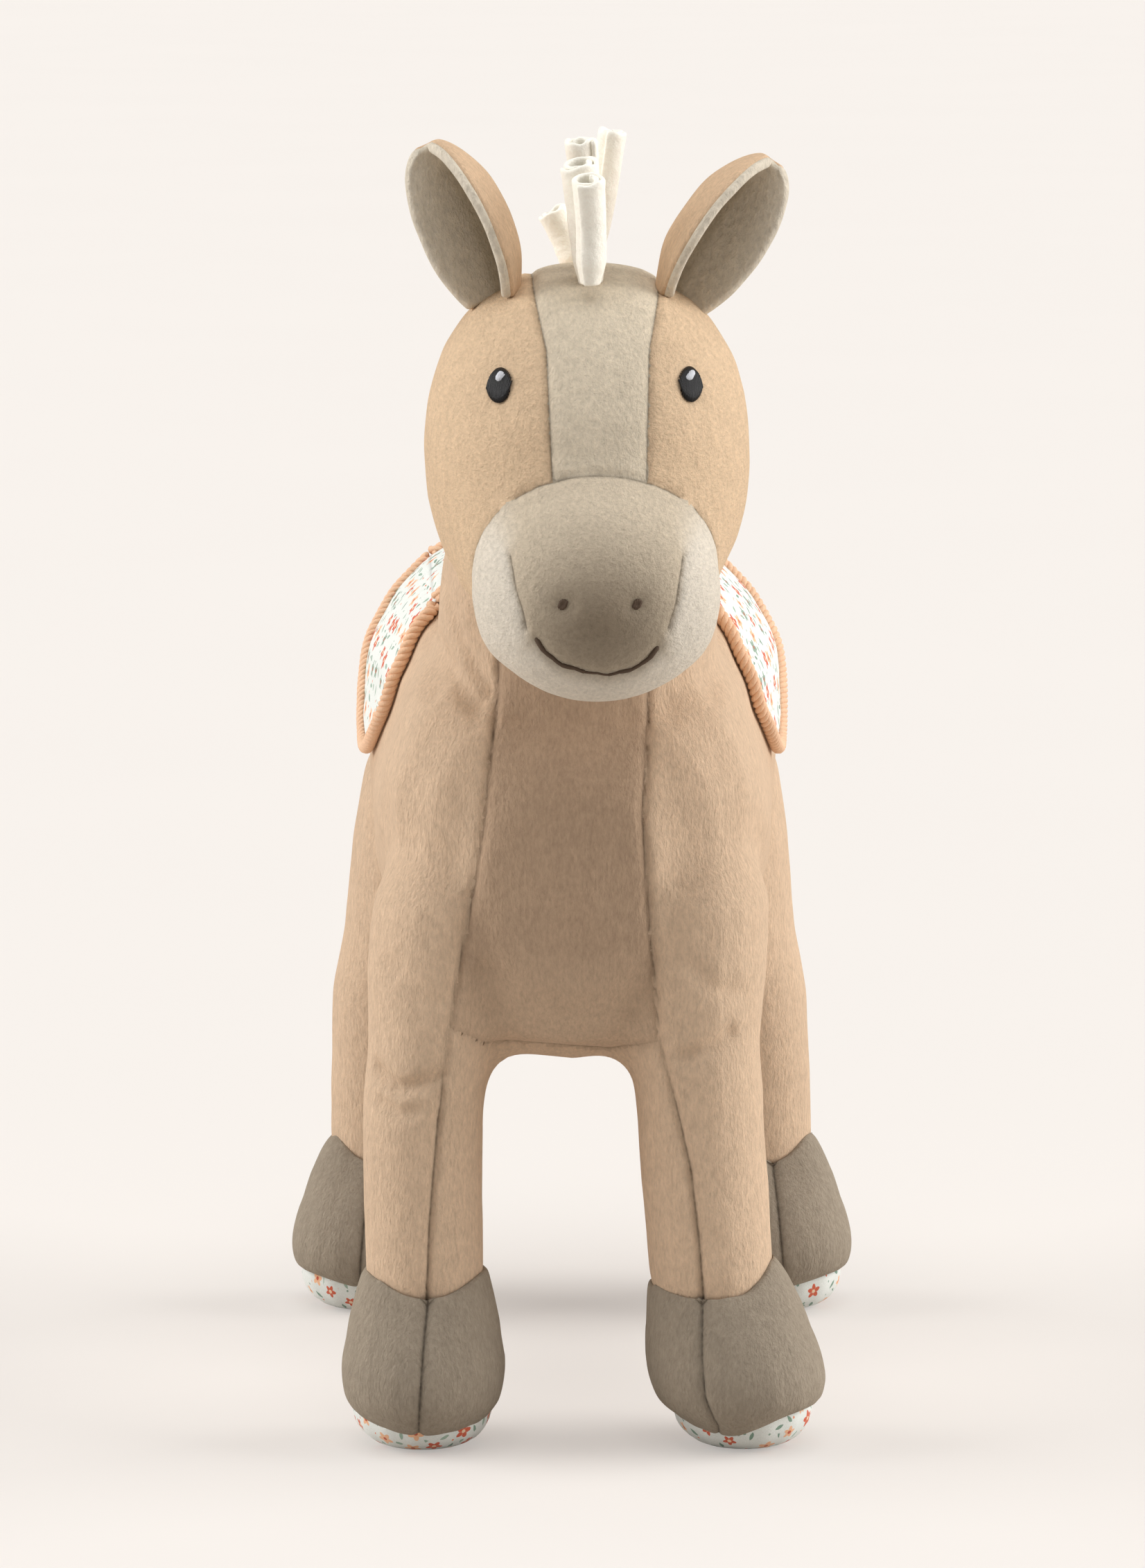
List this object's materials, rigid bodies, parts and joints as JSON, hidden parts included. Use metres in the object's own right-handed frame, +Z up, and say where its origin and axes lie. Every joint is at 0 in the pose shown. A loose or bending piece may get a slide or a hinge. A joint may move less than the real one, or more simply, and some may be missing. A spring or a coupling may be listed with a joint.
{
  "type": "plush horse",
  "caption": "Standing stuffed toy horse with a printed saddle cloth, fleece mane and tail, embroidered face, padded hooves and a turning neck, nodding head, swinging legs and hanging flaps.",
  "frame": {"origin": "middle of the footprint box, on the floor that the four soles stand on", "axes": "+Z up from the floor, -Y the way the nose points, +X the horse's own left side"},
  "size_m": [0.2132, 0.3988, 0.4582],
  "materials": {
    "peach_plush": "short-pile plush, matte, soft nap",
    "greige_plush": "short-pile plush, matte",
    "pale_plush": "short-pile plush, matte",
    "taupe_plush": "short-pile plush, matte",
    "cream_fleece": "looped fleece strips, matte",
    "printed_cotton": "plain-weave cotton with a small scattered flower print in rust, peach and sage",
    "peach_cord": "twisted cotton cord, matte",
    "black_thread": "satin stitch with a low sheen",
    "grey_thread": "satin stitch with a low sheen",
    "brown_thread": "satin stitch with a low sheen"
  },
  "bodies": {
    "torso": {"torso": "peach_plush", "chest_panel": "peach_plush", "saddle_seat": "printed_cotton", "seat_piping_front": "peach_cord", "seat_piping_rear": "peach_cord"},
    "neck": {"neck": "peach_plush"},
    "head": {"head": "peach_plush", "blaze": "greige_plush", "muzzle_center": "greige_plush", "cheek_left": "pale_plush", "cheek_right": "pale_plush", "eye_left": "black_thread", "eye_glint_left": "grey_thread", "eye_right": "black_thread", "eye_glint_right": "grey_thread", "nostril_left": "brown_thread", "nostril_right": "brown_thread", "mouth_stitching": "brown_thread", "mane_strip_1": "cream_fleece", "mane_strip_2": "cream_fleece", "mane_strip_3": "cream_fleece", "mane_strip_4": "cream_fleece", "mane_strip_5": "cream_fleece", "mane_strip_6": "cream_fleece"},
    "ear_left": {"ear_shell_left": "peach_plush", "ear_lining_left": "greige_plush"},
    "ear_right": {"ear_shell_right": "peach_plush", "ear_lining_right": "greige_plush"},
    "leg_front_left": {"leg_front_left": "peach_plush", "hoof_front_left": "taupe_plush", "sole_front_left": "printed_cotton"},
    "leg_front_right": {"leg_front_right": "peach_plush", "hoof_front_right": "taupe_plush", "sole_front_right": "printed_cotton"},
    "leg_hind_left": {"leg_hind_left": "peach_plush", "hoof_hind_left": "taupe_plush", "sole_hind_left": "printed_cotton"},
    "leg_hind_right": {"leg_hind_right": "peach_plush", "hoof_hind_right": "taupe_plush", "sole_hind_right": "printed_cotton"},
    "flap_left": {"saddle_flap_left": "printed_cotton", "flap_piping_left": "peach_cord"},
    "flap_right": {"saddle_flap_right": "printed_cotton", "flap_piping_right": "peach_cord"},
    "tail": {"tail_strip_1": "cream_fleece", "tail_strip_2": "cream_fleece", "tail_strip_3": "cream_fleece"}
  },
  "joints": [
    {"name": "neck_turn", "type": "hinge", "parent": "torso", "child": "neck", "pos_m": [0.00025, -0.04909, 0.26264], "axis": [0, -0.342, 0.9397], "range_deg": [-15, 15], "stiffness_Nm_per_rad": 6},
    {"name": "head_nod", "type": "hinge", "parent": "neck", "child": "head", "pos_m": [0.00375, -0.07229, 0.335], "axis": [0.9986, 0.0523, 0], "range_deg": [-10, 10], "stiffness_Nm_per_rad": 20},
    {"name": "ear_flop_left", "type": "hinge", "parent": "head", "child": "ear_left", "pos_m": [0.03534, -0.0985, 0.40178], "axis": [0, 1, 0], "range_deg": [-25, 25], "stiffness_Nm_per_rad": 0.5},
    {"name": "ear_flop_right", "type": "hinge", "parent": "head", "child": "ear_right", "pos_m": [-0.02404, -0.10187, 0.40233], "axis": [0, 1, 0], "range_deg": [-25, 25], "stiffness_Nm_per_rad": 0.5},
    {"name": "leg_swing_front_left", "type": "hinge", "parent": "torso", "child": "leg_front_left", "pos_m": [0.04525, -0.08029, 0.18], "axis": [1, 0, 0], "range_deg": [-12, 12], "stiffness_Nm_per_rad": 12},
    {"name": "leg_swing_front_right", "type": "hinge", "parent": "torso", "child": "leg_front_right", "pos_m": [-0.04475, -0.08029, 0.18], "axis": [1, 0, 0], "range_deg": [-12, 12], "stiffness_Nm_per_rad": 12},
    {"name": "leg_swing_hind_left", "type": "hinge", "parent": "torso", "child": "leg_hind_left", "pos_m": [0.05025, 0.11971, 0.19], "axis": [1, 0, 0], "range_deg": [-12, 12], "stiffness_Nm_per_rad": 12},
    {"name": "leg_swing_hind_right", "type": "hinge", "parent": "torso", "child": "leg_hind_right", "pos_m": [-0.04975, 0.11971, 0.19], "axis": [1, 0, 0], "range_deg": [-12, 12], "stiffness_Nm_per_rad": 12},
    {"name": "flap_lift_left", "type": "hinge", "parent": "torso", "child": "flap_left", "pos_m": [0.05319, 0.02571, 0.29469], "axis": [0, -1, 0], "range_deg": [0, 75]},
    {"name": "flap_lift_right", "type": "hinge", "parent": "torso", "child": "flap_right", "pos_m": [-0.05269, 0.02571, 0.29469], "axis": [0, 1, 0], "range_deg": [0, 75]},
    {"name": "tail_sway", "type": "hinge", "parent": "torso", "child": "tail", "pos_m": [0.00025, 0.15571, 0.264], "axis": [0, 1, 0], "range_deg": [-35, 35]}
  ]
}
